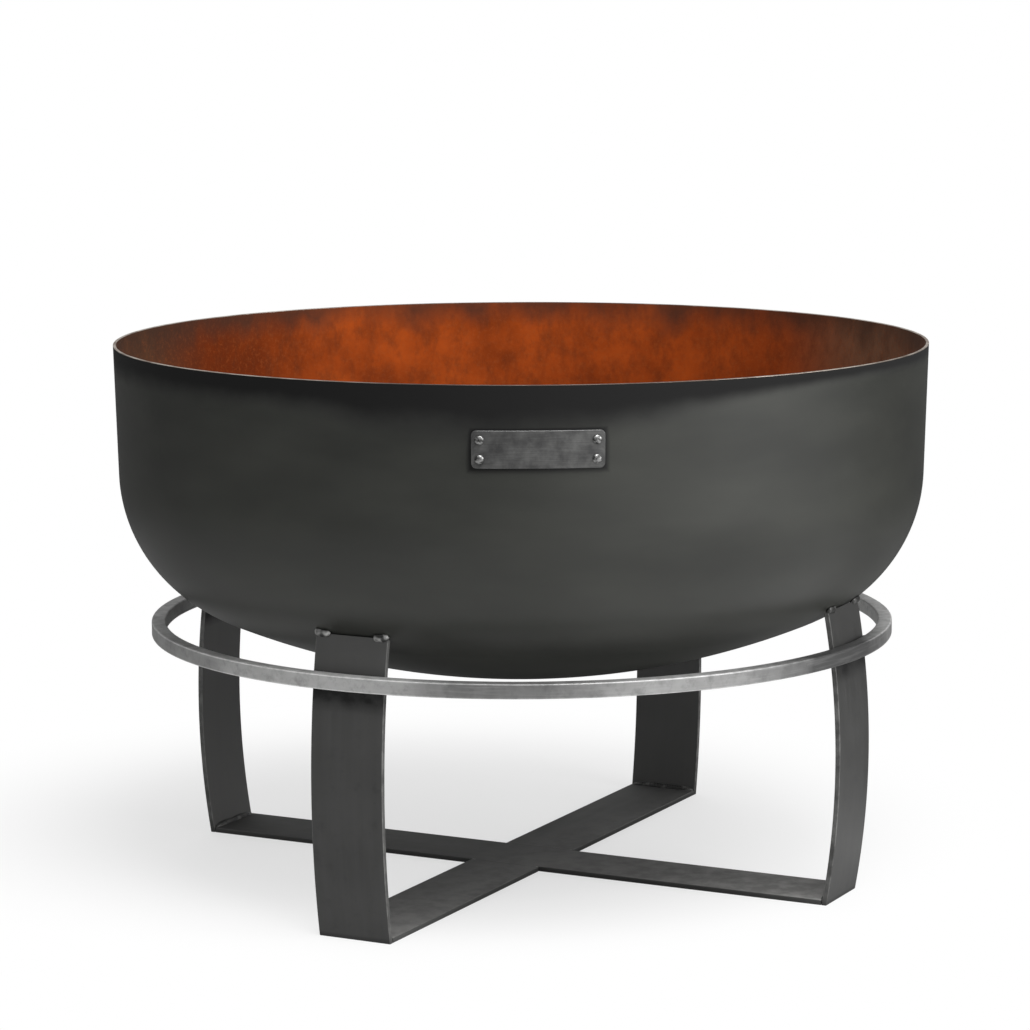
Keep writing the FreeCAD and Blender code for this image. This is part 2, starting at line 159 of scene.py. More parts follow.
# Floor, in metres: its shadow as seen straight, and what a gloss sees of it
FLOOR_SIZE = 40
FLOOR_COLOUR = "#dcdcdc"
FLOOR_SHADE = (-0.1, 0.14, 0)
FLOOR_SHADE_ENDS = (0.22, 0.66)
FLOOR_GLOW = 0.6
FLOOR_GLOSS = (0.12, 1.05)
FLOOR_BRIGHT_SIDE = (0.75, -0.66, 0)
FLOOR_GLOSS_SHADE = (0.05, 0.03, 0)
FLOOR_GLOSS_ENDS = (0.18, 0.48)
FLOOR_GLOSS_DARK = 0.05
FLOOR_DIM_SIDE = (0.25, 0.97, 0)
FLOOR_DIM_EDGE = (0.88, 0.98)
FLOOR_DIM = 0.08
FLOOR_POOL = (0.8, 0.3)
FLOOR_POOL_SIDES = (-1.0, 0.3)
FLOOR_POOL_ENDS = (1.2, 2.2)

# Lamps: name, place and size in metres, power in watts
LAMPS = [
    ("high_front", (0.4, -1.3, 3.0), 1.8, 92),
    ("side_right", (2.6, -1.7, 1.3), 1.6, 44),
]

# Light of the room on its dark side and its bright side, for matt and for glossy surfaces
ROOM_MATT = (0.5, 0.95)
ROOM_GLOSS = (0.09, 1.0)
ROOM_OVERHEAD = 0.7
ROOM_OVERHEAD_EDGE = (0.05, 0.5)
ROOM_BRIGHT_SIDE = (0.85, -0.53, 0)
ROOM_EDGE = (0.62, 0.83)
ROOM_REAR_SIDE = (-0.26, 0.97, 0)
ROOM_REAR_MATT = (0, 2.0)

# Sizes and places read from the frame
bowl_low, bowl_high = (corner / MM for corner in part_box("fire_bowl"))
hoop_low, hoop_high = (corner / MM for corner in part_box("hoop"))
RIM_RADIUS = bowl_high.x
RIM_HEIGHT = bowl_high.z
BOWL_BOTTOM = bowl_low.z
BOWL_DEPTH = RIM_HEIGHT - BOWL_BOTTOM
PLATE_MIDDLE = RIM_HEIGHT - PLATE_DROP
PLATE_RADIUS = RIM_RADIUS - PLATE_DROP * math.tan(WALL_DRAFT)
HOOP_OUTSIDE = hoop_high.x
HOOP_TOP = hoop_high.z
HOOP_BAR = hoop_high.z - hoop_low.z
HOOP_INSIDE = HOOP_OUTSIDE - HOOP_BAR
LEG_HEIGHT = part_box("leg_front_left")[1].z / MM

LEGS = ["front_left", "front_right", "rear_right", "rear_left"]
LEG_FACING = {name: math.radians(-90 - LEG_ANGLE + 90 * number) for number, name in enumerate(LEGS)}
BOW_MIDDLE = LEG_HEIGHT / 2
BOW_CENTRE = LEG_END_RADIUS - math.sqrt(LEG_BEND_RADIUS ** 2 - BOW_MIDDLE ** 2)
X, Y, Z = Vector((1, 0, 0)), Vector((0, 1, 0)), Vector((0, 0, 1))


def bow(radius, height):
    """Distance from the axis of a leg's face at a height, for the bend radius of that face."""
    return BOW_CENTRE + math.sqrt(radius ** 2 - (height - BOW_MIDDLE) ** 2)


LEG_INSIDE = bow(LEG_BEND_RADIUS - FLAT_THICK, 0)


# Materials

SMOOTH = {"interpolation_type": "SMOOTHSTEP"}


def linear(code):
    """A linear colour from an sRGB hex code."""
    parts = [int(code[place:place + 2], 16) / 255 for place in (1, 3, 5)]
    return (*(part / 12.92 if part < 0.04045 else ((part + 0.055) / 1.055) ** 2.4 for part in parts), 1)


def plug(node, sockets):
    """Sets a node's sockets to values, hex colours, outputs, or nodes in place of their first output."""
    for name, value in sockets.items():
        if isinstance(value, str):
            value = linear(value)
        if isinstance(value, bpy.types.Node):
            value = value.outputs[0]
        if isinstance(value, bpy.types.NodeSocket):
            node.id_data.links.new(value, node.inputs[name])
        else:
            node.inputs[name].default_value = value


def add(tree, kind, sockets=None, **settings):
    """Adds a node with its settings and its sockets."""
    node = tree.nodes.new("ShaderNode" + kind)
    for name, value in settings.items():
        setattr(node, name, value)
    plug(node, sockets or {})
    return node


def per(size):
    """Noise scale for features of a size in millimetres, in metre coordinates."""
    return 1 / (size * MM)


def between(start, full):
    """Sockets in metres for the places in millimetres where a mark starts and where it is full."""
    return {"From Min": start * MM, "From Max": full * MM}


def new_material(name, sockets):
    """A material, its node tree and its shader, with what is the same all over the surface."""
    material = bpy.data.materials.new(name)
    material.use_nodes = True
    shader = material.node_tree.nodes["Principled BSDF"]
    plug(shader, sockets)
    return material, material.node_tree, shader


def blackened_sheet():
    """Steel sheet with a heat-proof black coat: a smooth satin with soft clouds. It is darker in a band below
    the rim, painted shade darkens it underneath, and a painted shadow lies round the plate."""
    material, tree, shader = new_material("blackened_sheet", {"Specular IOR Level": 0.38})
    place = add(tree, "TexCoord").outputs["Object"]
    across, backwards, height = add(tree, "SeparateXYZ", {"Vector": place}).outputs
    lying = add(tree, "Mapping", {"Vector": place, "Scale": (1, 1, 3)})
    clouds = add(tree, "TexNoise", {"Vector": lying, "Scale": per(140), "Detail": 5.0})
    wisps = add(tree, "TexNoise", {"Vector": place, "Scale": per(45), "Detail": 4.0})
    # The coat's grain is drawn coarser than it is, so that it shows
    grain = add(tree, "TexNoise", {"Vector": place, "Scale": per(2.2), "Detail": 2.0})
    cloud_share = add(tree, "MapRange", {"Value": clouds, "From Min": 0.3, "From Max": 0.7})
    cloudy = add(tree, "MixRGB", {"Fac": cloud_share, "Color1": "#282926", "Color2": "#32332f"})

    # A darker band below the rim, deepest just left of the middle and shallowest at the right
    from_left = add(tree, "MapRange", {"Value": across, **between(RIM_BAND_LEFT_END, RIM_BAND_MIDDLE),
                                       "To Min": RIM_BAND_LEFT_DEPTH * MM, "To Max": RIM_BAND_DEPTH * MM})
    from_right = add(tree, "MapRange", {"Value": across, **between(RIM_BAND_RIGHT_END, RIM_BAND_MIDDLE),
                                        "To Min": RIM_BAND_RIGHT_DEPTH * MM, "To Max": RIM_BAND_DEPTH * MM}, **SMOOTH)
    band_depth = add(tree, "Math", {0: from_left, 1: from_right}, operation="MINIMUM")
    drop = add(tree, "Math", {0: RIM_HEIGHT * MM, 1: height}, operation="SUBTRACT")
    drop_share = add(tree, "Math", {0: drop, 1: band_depth}, operation="DIVIDE")
    uneven = add(tree, "MapRange", {"Value": wisps, "From Min": 0.3, "From Max": 0.7,
                                    "To Min": -0.1, "To Max": 0.1})
    uneven_share = add(tree, "Math", {0: drop_share, 1: uneven}, operation="ADD")
    rim_band = add(tree, "MapRange", {"Value": uneven_share, "From Min": 1.3, "From Max": 0.4}, **SMOOTH)
    # Painted shade: darker towards the bottom, underneath the bowl
    underneath = add(tree, "MapRange", {"Value": height, **between(BOWL_BOTTOM + UNDERSIDE_SHADE_RISE, BOWL_BOTTOM),
                                        "To Max": 0.8}, **SMOOTH)
    band_and_shade = add(tree, "Math", {0: rim_band, 1: underneath}, operation="MAXIMUM")

    # Painted shadow round the plate, on the front of the wall
    sideways = add(tree, "Math", {0: across}, operation="ABSOLUTE")
    beside = add(tree, "Math", {0: sideways, 1: PLATE_LENGTH / 2 * MM}, operation="SUBTRACT")
    off_middle = add(tree, "Math", {0: height, 1: PLATE_MIDDLE * MM}, operation="SUBTRACT")
    up_or_down = add(tree, "Math", {0: off_middle}, operation="ABSOLUTE")
    above = add(tree, "Math", {0: up_or_down, 1: PLATE_HEIGHT / 2 * MM}, operation="SUBTRACT")
    from_plate = add(tree, "Math", {0: beside, 1: above}, operation="MAXIMUM")
    round_plate = add(tree, "MapRange", {"Value": from_plate, **between(PLATE_SHADOW_REACH, 0)}, **SMOOTH)
    in_front = add(tree, "Math", {0: backwards, 1: 0.0}, operation="LESS_THAN")
    plate_shadow = add(tree, "Math", {0: round_plate, 1: in_front}, operation="MULTIPLY")

    dark = add(tree, "Math", {0: band_and_shade, 1: plate_shadow}, operation="MAXIMUM")
    darkened_coat = add(tree, "MixRGB", {"Fac": dark, "Color1": cloudy, "Color2": "#040404"})
    polish = add(tree, "MapRange", {"Value": clouds, "To Min": 0.34, "To Max": 0.46})
    dull = add(tree, "MapRange", {"Value": rim_band, "To Min": polish, "To Max": 0.85})
    relief = add(tree, "Bump", {"Strength": 0.05, "Distance": 0.3 * MM, "Height": grain})
    plug(shader, {"Base Color": darkened_coat, "Roughness": dull, "Normal": relief})
    return material


def burnt_rust():
    """Inside of the sheet, burnt bare: matt rust in clouds, dabs and fine specks, browner towards the sides
    and lighter on the right than on the left as painted light, with dark scale that hangs ragged from the
    rim, and ash towards the bottom."""
    material, tree, shader = new_material("burnt_rust", {"Roughness": 0.9, "Specular IOR Level": 0.06})
    place = add(tree, "TexCoord").outputs["Object"]
    across, _, height = add(tree, "SeparateXYZ", {"Vector": place}).outputs
    hanging = add(tree, "Mapping", {"Vector": place, "Scale": (1, 1, 0.6)})
    clouds = add(tree, "TexNoise", {"Vector": place, "Scale": per(70), "Detail": 6.0, "Roughness": 0.6})
    dabs = add(tree, "TexNoise", {"Vector": hanging, "Scale": per(16), "Detail": 7.0, "Roughness": 0.7})
    fringe = add(tree, "TexNoise", {"Vector": hanging, "Scale": per(38), "Detail": 5.0})
    specks = add(tree, "TexNoise", {"Vector": place, "Scale": per(4), "Detail": 5.0, "Roughness": 0.75})
    cloud_share = add(tree, "MapRange", {"Value": clouds, "From Min": 0.35, "From Max": 0.65})
    colour = add(tree, "MixRGB", {"Fac": cloud_share, "Color1": "#7a3310", "Color2": "#a24716"})
    # Browner rust towards the sides, lighter on the right as painted light
    for start, full, share, brown in SIDE_RUST_AND_LIGHT:
        to_side = add(tree, "MapRange", {"Value": across, **between(start, full), "To Max": share}, **SMOOTH)
        colour = add(tree, "MixRGB", {"Fac": to_side, "Color1": colour, "Color2": brown})
    dab_share = add(tree, "MapRange", {"Value": dabs, "From Min": 0.45, "From Max": 0.7, "To Max": 0.5})
    speck_share = add(tree, "MapRange", {"Value": specks, "From Min": 0.5, "From Max": 0.75, "To Max": 0.5})
    ragged = add(tree, "Math", {0: fringe, 1: 0.5}, operation="SUBTRACT")
    hung = add(tree, "Math", {0: ragged, 1: SCALE_RAGGED * MM, 2: height}, operation="MULTIPLY_ADD")
    along_rim = add(tree, "MapRange", {"Value": hung, **between(RIM_HEIGHT - SCALE_DEPTH, RIM_HEIGHT),
                                       "To Max": 0.75})
    low = add(tree, "MapRange", {"Value": height, **between(BOWL_BOTTOM + ASH_RISE, BOWL_BOTTOM + ASH_BED),
                                 "To Max": 0.8})
    for share, coat in ((dab_share, "#4a2616"), (speck_share, "#8c4a24"), (along_rim, "#3a2a22"),
                        (low, "#39302b")):
        colour = add(tree, "MixRGB", {"Fac": share, "Color1": colour, "Color2": coat})
    relief = add(tree, "Bump", {"Strength": 0.35, "Distance": 0.5 * MM, "Height": specks})
    plug(shader, {"Base Color": colour, "Normal": relief})
    return material


def cut_steel():
    """Sheared edge of the sheet: bright grey steel with brown stains, browned by heat near the middle."""
    material, tree, shader = new_material("cut_steel", {"Metallic": 0.9, "Roughness": 0.4})
    place = add(tree, "TexCoord").outputs["Object"]
    stains = add(tree, "TexNoise", {"Vector": place, "Scale": per(30), "Detail": 5.0})
    stain_share = add(tree, "MapRange", {"Value": stains, "From Min": 0.4, "From Max": 0.7})
    stained = add(tree, "MixRGB", {"Fac": stain_share, "Color1": "#c0b6ac", "Color2": "#7d6c5f"})
    across = add(tree, "SeparateXYZ", {"Vector": place}).outputs["X"]
    sideways = add(tree, "Math", {0: across}, operation="ABSOLUTE")
    to_middle = add(tree, "MapRange", {"Value": sideways, **between(*BROWN_RIM), "To Max": 0.9}, **SMOOTH)
    browned = add(tree, "MixRGB", {"Fac": to_middle, "Color1": stained, "Color2": "#3d2f27"})
    plug(shader, {"Base Color": browned})
    return material


def facing_out(tree, place, normal):
    """How far a surface faces away from the stand's axis: 1 is outwards, -1 inwards."""
    flat = add(tree, "VectorMath", {0: place, 1: (1, 1, 0)}, operation="MULTIPLY")
    outwards = add(tree, "VectorMath", {0: flat}, operation="NORMALIZE")
    return add(tree, "VectorMath", {0: normal, 1: outwards}, operation="DOT_PRODUCT").outputs["Value"]


def blackened_flat_bar():
    """Hot-rolled flat bar with a black coat: satin, clouded and blotched, faintly streaked along the bar.
    Painted light makes it paler inside, and below the bowl on the left. Painted shade lies round the hoop and
    along the floor. Ash lies in patches on the level faces, spread towards the lit side as painted light, and
    the edges are a little paler, from wear and a painted highlight."""
    material, tree, shader = new_material("blackened_flat_bar", {})
    spaces = add(tree, "TexCoord").outputs
    place, normal = spaces["Object"], spaces["Normal"]
    across, _, height = add(tree, "SeparateXYZ", {"Vector": place}).outputs
    stretched = add(tree, "Mapping", {"Vector": spaces["UV"], "Scale": (1, 0.06, 1)})
    streaks = add(tree, "TexNoise", {"Vector": stretched, "Scale": per(9), "Detail": 3.0})
    clouds = add(tree, "TexNoise", {"Vector": place, "Scale": per(55), "Detail": 4.0})
    spots = add(tree, "TexNoise", {"Vector": place, "Scale": per(16), "Detail": 3.0, "Roughness": 0.6})
    # The coat's grain is drawn coarser than it is, so that it shows
    grain = add(tree, "TexNoise", {"Vector": place, "Scale": per(2), "Detail": 2.0})
    cloud_share = add(tree, "MapRange", {"Value": clouds, "From Min": 0.3, "From Max": 0.7})
    spot_share = add(tree, "MapRange", {"Value": spots, "From Min": 0.58, "From Max": 0.75, "To Max": 0.55})
    streak_share = add(tree, "MapRange", {"Value": streaks, "From Min": 0.4, "From Max": 0.8, "To Max": 0.25})
    patches = add(tree, "MapRange", {"Value": spots, "From Min": 0.35, "From Max": 0.65,
                                     "To Min": 0.7, "To Max": 1.25})

    # Painted light: paler high up below the bowl on the left, and on the inner faces, most on the left
    to_left = add(tree, "MapRange", {"Value": across, **between(*PAINTED_LIGHT_ACROSS), "To Min": 0.3})
    below_bowl = add(tree, "MapRange", {"Value": height, **between(PAINTED_LIGHT_LOW, LEG_HEIGHT), "To Max": 0.55},
                     **SMOOTH)
    lit_high_left = add(tree, "Math", {0: below_bowl, 1: to_left}, operation="MULTIPLY")
    left_inside = add(tree, "MapRange", {"Value": across, **between(*PAINTED_LIGHT_INSIDE), "To Min": 0.45,
                                         "To Max": 0.9})
    inside = add(tree, "MapRange", {"Value": facing_out(tree, place, normal), "From Min": -0.5,
                                    "From Max": -0.8, "To Max": left_inside})
    painted_light = add(tree, "Math", {0: lit_high_left, 1: inside}, operation="ADD")

    upwards = add(tree, "SeparateXYZ", {"Vector": normal}).outputs["Z"]
    upper_face = add(tree, "MapRange", {"Value": upwards, "From Min": 0.6, "From Max": 0.95})
    on_floor = add(tree, "Math", {0: height, 1: 4 * FLAT_THICK * MM}, operation="LESS_THAN")
    level = add(tree, "Math", {0: upper_face, 1: on_floor}, operation="MULTIPLY")
    # Ash on the level faces by the floor, spread thicker towards the lit front right as painted light
    towards_light = add(tree, "VectorMath", {0: place, 1: LIT_ASH_SIDE}, operation="DOT_PRODUCT").outputs["Value"]
    lit_spread = add(tree, "MapRange", {"Value": towards_light, **between(*LIT_ASH_SPREAD), "To Min": 0.05, "To Max": 0.7})
    settled = add(tree, "Math", {0: lit_spread, 1: patches}, operation="MULTIPLY")
    ash_and_light = add(tree, "Math", {0: settled, 1: level}, operation="MULTIPLY", use_clamp=True)

    # Painted shade round the hoop, centred a little below it, and painted shade along the floor
    hoop_shade_middle = HOOP_TOP - HOOP_BAR / 2 - HOOP_SHADE_DROP
    off_hoop = add(tree, "Math", {0: height, 1: hoop_shade_middle * MM}, operation="SUBTRACT")
    from_hoop = add(tree, "Math", {0: off_hoop}, operation="ABSOLUTE")
    hoop_shade = add(tree, "MapRange", {"Value": from_hoop, "To Max": 0.85,
                                        **between(HOOP_BAR / 2 + HOOP_SHADE_REACH, HOOP_BAR / 2)})
    blotchy = add(tree, "Math", {0: hoop_shade, 1: patches}, operation="MULTIPLY", use_clamp=True)
    bar_floor_shade = add(tree, "MapRange", {"Value": height, **between(FLAT_THICK, FLAT_THICK / 2),
                                         "To Max": 0.7})
    painted_shade = add(tree, "Math", {0: blotchy, 1: bar_floor_shade}, operation="MAXIMUM")

    # Edges paler from wear and from a painted highlight, less so near the floor
    edge = add(tree, "Attribute", attribute_name="edge").outputs["Fac"]
    patchy = add(tree, "MapRange", {"Value": spots, "From Min": 0.35, "From Max": 0.65,
                                    "To Min": 0.1, "To Max": 0.75})
    off_floor = add(tree, "MapRange", {"Value": height, **between(FLAT_THICK, 3 * FLAT_THICK),
                                       "To Min": 0.2, "To Max": patchy})
    paler_and_lit = add(tree, "Math", {0: edge, 1: off_floor}, operation="MULTIPLY")

    colour = add(tree, "MixRGB", {"Fac": cloud_share, "Color1": "#2b2b2a", "Color2": "#353534"})
    for share, coat in ((spot_share, "#1f1f1f"), (streak_share, "#484848"), (painted_light, "#5a5a59"),
                        (ash_and_light, "#8c8b89"), (painted_shade, "#0c0c0c"), (paler_and_lit, "#8a8a88")):
        colour = add(tree, "MixRGB", {"Fac": share, "Color1": colour, "Color2": coat})
    polish = add(tree, "MapRange", {"Value": streaks, "To Min": 0.36, "To Max": 0.52})
    dull = add(tree, "MapRange", {"Value": level, "To Min": polish, "To Max": 0.8})
    relief = add(tree, "Bump", {"Strength": 0.08, "Distance": 0.3 * MM, "Height": grain})
    plug(shader, {"Base Color": colour, "Roughness": dull, "Normal": relief})
    return material


def rolled_square_bar():
    """Rolled square bar under grey mill scale: dull, part metal and part oxide, mottled and scratched along
    its length, barer in bands left by the rolls. Painted reflection makes it paler on the left, painted light
    makes it paler at its right end and on its inner face there, and painted highlights run along its edges."""
    material, tree, shader = new_material("rolled_square_bar", {"Metallic": 0.3})
    spaces = add(tree, "TexCoord").outputs
    place = spaces["Object"]
    across = add(tree, "SeparateXYZ", {"Vector": place}).outputs["X"]
    stretched = add(tree, "Mapping", {"Vector": spaces["UV"], "Scale": (1, 0.05, 1)})
    # The scratches are drawn wider than they are, so that they show
    scratches = add(tree, "TexNoise", {"Vector": stretched, "Scale": per(2.5), "Detail": 4.0})
    mottle = add(tree, "TexNoise", {"Vector": place, "Scale": per(12), "Detail": 6.0, "Roughness": 0.7})
    patches = add(tree, "TexNoise", {"Vector": place, "Scale": per(60), "Detail": 4.0, "Roughness": 0.6})
    # Painted reflection: paler on the left; the roll bands and patches are real bare scale
    to_left = add(tree, "MapRange", {"Value": across, **between(*HOOP_LIT_LEFT), "To Min": 0.14, "To Max": 0.7})
    turn = add(tree, "MapRange", {"Value": across, "To Max": 2 * math.pi,
                                  **between(ROLL_BAND_START, ROLL_BAND_START + ROLL_BAND)}, clamp=False)
    band = add(tree, "Math", {0: turn}, operation="COSINE")
    banded = add(tree, "Math", {0: band, 1: 0.28, 2: to_left}, operation="MULTIPLY_ADD")
    patch_share = add(tree, "MapRange", {"Value": patches, "From Min": 0.3, "From Max": 0.7,
                                         "To Min": -0.15, "To Max": 0.15})
    patched = add(tree, "Math", {0: banded, 1: patch_share}, operation="ADD")
    facing = facing_out(tree, place, spaces["Normal"])
    less_outside = add(tree, "MapRange", {"Value": facing, "From Min": 0.8, "From Max": 0.5,
                                          "To Min": 0.4, "To Max": 0.8})
    # Painted light: paler at the right end
    right_end = add(tree, "MapRange", {"Value": across, **between(*HOOP_RIGHT_END), "To Max": less_outside})
    bare_and_lit = add(tree, "Math", {0: patched, 1: right_end}, operation="ADD", use_clamp=True)

    # Painted light on the hoop's inner face at the right
    inside = add(tree, "MapRange", {"Value": facing, "From Min": -0.5, "From Max": -0.8, "To Max": 0.9})
    on_right = add(tree, "MapRange", {"Value": across, **between(*HOOP_LIT_INSIDE)})
    paler_and_lit = add(tree, "Math", {0: inside, 1: on_right}, operation="MULTIPLY")
    mottle_share = add(tree, "MapRange", {"Value": mottle, "From Min": 0.48, "From Max": 0.7, "To Max": 0.45})
    scratch_share = add(tree, "MapRange", {"Value": scratches, "From Min": 0.5, "From Max": 0.75,
                                           "To Max": 0.14})
    # Painted highlights along the edges, where the bar is paler
    edge = add(tree, "Attribute", attribute_name="edge").outputs["Fac"]
    patchy = add(tree, "MapRange", {"Value": mottle, "From Min": 0.35, "From Max": 0.6,
                                    "To Min": 0.95, "To Max": 0.4})
    edge_share = add(tree, "MapRange", {"Value": bare_and_lit, "From Max": 0.6, "To Min": 0.0, "To Max": patchy})
    bright = add(tree, "Math", {0: edge, 1: edge_share}, operation="MULTIPLY")

    colour = add(tree, "MixRGB", {"Fac": bare_and_lit, "Color1": "#444444", "Color2": "#bcbcbb"})
    for share, coat in ((paler_and_lit, "#e6e6e5"), (mottle_share, "#4a4a4a"), (scratch_share, "#c4c4c3"),
                        (bright, "#e2e2e1")):
        colour = add(tree, "MixRGB", {"Fac": share, "Color1": colour, "Color2": coat})
    polish = add(tree, "MapRange", {"Value": mottle, "To Min": 0.28, "To Max": 0.5})
    relief = add(tree, "Bump", {"Strength": 0.15, "Distance": 0.2 * MM, "Height": mottle})
    plug(shader, {"Base Color": colour, "Roughness": polish, "Normal": relief})
    return material


def brushed_plate_steel():
    """Plate brushed along its length and blackened by use: dull metal with fine lines and cloudy stains."""
    material, tree, shader = new_material("brushed_plate_steel", {"Metallic": 0.7})
    along = add(tree, "TexCoord").outputs["UV"]
    stretched = add(tree, "Mapping", {"Vector": along, "Scale": (1, 0.05, 1)})
    # The brush's lines are drawn coarser than they are, so that they show
    lines = add(tree, "TexNoise", {"Vector": stretched, "Scale": per(1.2), "Detail": 4.0})
    stains = add(tree, "TexNoise", {"Vector": along, "Scale": per(17), "Detail": 5.0, "Roughness": 0.6})
    stain_share = add(tree, "MapRange", {"Value": stains, "From Min": 0.35, "From Max": 0.65})
    stained = add(tree, "MixRGB", {"Fac": stain_share, "Color1": "#4c4c4c", "Color2": "#6c6c6b"})
    line_share = add(tree, "MapRange", {"Value": lines, "From Min": 0.4, "From Max": 0.75, "To Max": 0.35})
    lined = add(tree, "MixRGB", {"Fac": line_share, "Color1": stained, "Color2": "#333333"})
    polish = add(tree, "MapRange", {"Value": stains, "To Min": 0.32, "To Max": 0.52})
    relief = add(tree, "Bump", {"Strength": 0.1, "Distance": 0.15 * MM, "Height": lines})
    plug(shader, {"Base Color": lined, "Roughness": polish, "Normal": relief})
    return material


def hammered_rivet_steel():
    """Bare rivet steel, dulled by soot: grey metal with dark dirt in its dents."""
    material, tree, shader = new_material("hammered_rivet_steel", {"Metallic": 0.9, "Roughness": 0.36})
    place = add(tree, "TexCoord").outputs["Object"]
    dents = add(tree, "TexNoise", {"Vector": place, "Scale": per(2.6), "Detail": 3.0})
    dirt_share = add(tree, "MapRange", {"Value": dents, "From Min": 0.42, "From Max": 0.6})
    colour = add(tree, "MixRGB", {"Fac": dirt_share, "Color1": "#9b9b9a", "Color2": "#474746"})
    relief = add(tree, "Bump", {"Strength": 0.5, "Distance": 0.4 * MM, "Height": dents}, invert=True)
    plug(shader, {"Base Color": colour, "Normal": relief})
    return material


def coated_weld():
    """Weld bead under the stand's black coat: satin, with bare spots where the coat has been knocked off,
    which also stand as painted glints, most of them up on the left."""
    material, tree, shader = new_material("coated_weld", {"Metallic": 0.5, "Roughness": 0.4})
    place = add(tree, "TexCoord").outputs["Object"]
    across, _, height = add(tree, "SeparateXYZ", {"Vector": place}).outputs
    knocks = add(tree, "TexNoise", {"Vector": place, "Scale": per(9), "Detail": 1.0})
    # Bare spots that are also painted glints, most of them high up on the left
    to_left = add(tree, "MapRange", {"Value": across, **between(*WELD_BARE_AND_GLINT), "To Min": 0.2})
    to_top = add(tree, "MapRange", {"Value": height, **between(WELD_BARE_AND_GLINT_LOW, HOOP_TOP), "To Min": 0.2,
                                    "To Max": to_left})
    knocked = add(tree, "MapRange", {"Value": knocks, "From Min": 0.48, "From Max": 0.66})
    bare_and_lit = add(tree, "Math", {0: knocked, 1: to_top}, operation="MULTIPLY")
    colour = add(tree, "MixRGB", {"Fac": bare_and_lit, "Color1": "#3c3c3b", "Color2": "#b8b8b6"})
    plug(shader, {"Base Color": colour})
    return material


SHEET_FINISH = blackened_sheet()
RIM_FINISH = cut_steel()
RUST_FINISH = burnt_rust()
BAR_FINISH = blackened_flat_bar()
HOOP_FINISH = rolled_square_bar()
PLATE_FINISH = brushed_plate_steel()
RIVET_FINISH = hammered_rivet_steel()
WELD_FINISH = coated_weld()


# Meshes

# Share of a rounded edge by which its middle is cut in
EDGE_MIDDLE = 0.3


def piece(name, skins, materials, body, nodes, closed=False, shares=None, zones=None):
    """A mesh of skins in place of CAD nodes. A skin lies over rings of points in millimetres and has lengths
    as its UV coordinates, in metres. The shares say how far each point of a ring lies on a rounded edge, the
    zones which material each band between two rings has."""
    points, faces, across, along, face_zones = [], [], [], [], []
    for rings in skins:
        count, base = len(rings[0]), len(points)
        points += [point * MM for ring in rings for point in ring]
        bands = len(rings) if closed else len(rings) - 1
        rise = 0
        for band in range(bands):
            here, there = rings[band], rings[(band + 1) % len(rings)]
            step = max((there[number] - here[number]).length for number in range(count))
            first, second = base + band * count, base + (band + 1) % len(rings) * count
            turn = 0
            for number in range(count):
                following = (number + 1) % count
                width = (here[following] - here[number]).length
                faces.append((first + number, first + following, second + following, second + number))
                across += [turn, turn + width, turn + width, turn]
                along += [rise, rise, rise + step, rise + step]
                face_zones.append(zones[band] if zones else 0)
                turn += width
            rise += step
        if closed:
            continue
        last = base + (len(rings) - 1) * count
        faces.append([base + number for number in reversed(range(count))])
        faces.append([last + number for number in range(count)])
        across += [0] * (2 * count)
        along += [0] * count + [rise] * count
        face_zones += [zones[0], zones[-1]] if zones else [0, 0]
    mesh = bpy.data.meshes.new(name)
    mesh.from_pydata(points, [], faces)
    layer = mesh.uv_layers.new(name="UVMap")
    layer.data.foreach_set("uv", [length * MM for pair in zip(across, along) for length in pair])
    if shares:
        edge = mesh.attributes.new("edge", "FLOAT", "POINT")
        edge.data.foreach_set("value", shares * (len(points) // len(shares)))
    for material in materials:
        mesh.materials.append(material)
    mesh.polygons.foreach_set("material_index", face_zones)
    mesh.validate()
    mesh.shade_smooth()
    made = bpy.data.objects.new(name, mesh)
    bpy.context.scene.collection.objects.link(made)
    keep_flat = made.modifiers.new("keep_flat", "WEIGHTED_NORMAL")
    keep_flat.mode = "FACE_AREA"
    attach(made, body)
    if nodes:
        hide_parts(*nodes)


def section(width, depth, edge, inset=0):
    """Rounded rectangle round zero: points with x across its depth and y along its width, and each point's
    share of the rounded edge. A shoulder beside each edge keeps the flats flat."""
    steps, widest_shoulder, least_radius, narrow_side = 4, 1.2, 0.1, 0.5
    shoulder = min(widest_shoulder, depth / 4)
    half_x, half_y = depth / 2 - inset, width / 2 - inset
    radius = max(edge - inset, least_radius)
    crest = [math.sin(math.pi * step / steps) for step in range(steps + 1)]
    points, shares = [], []
    for side_x, side_y, start in ((1, -1, -90), (1, 1, 0), (-1, 1, 90), (-1, -1, 180)):
        centre = Vector((side_x * (half_x - radius), side_y * (half_y - radius)))
        arc = [math.radians(start + 90 * step / steps) for step in range(steps + 1)]
        ring = [centre + radius * Vector((math.cos(angle), math.sin(angle))) for angle in arc]
        before = ring[0] - shoulder * Vector((-math.sin(arc[0]), math.cos(arc[0])))
        after = ring[-1] + shoulder * Vector((-math.sin(arc[-1]), math.cos(arc[-1])))
        points += [before, *ring, after]
        ends = (0.0, narrow_side) if start in (0, 180) else (narrow_side, 0.0)
        rounded = [max(share, ends[step > steps / 2]) for step, share in enumerate(crest)]
        shares += [ends[0], *rounded, ends[1]]
    return points, shares


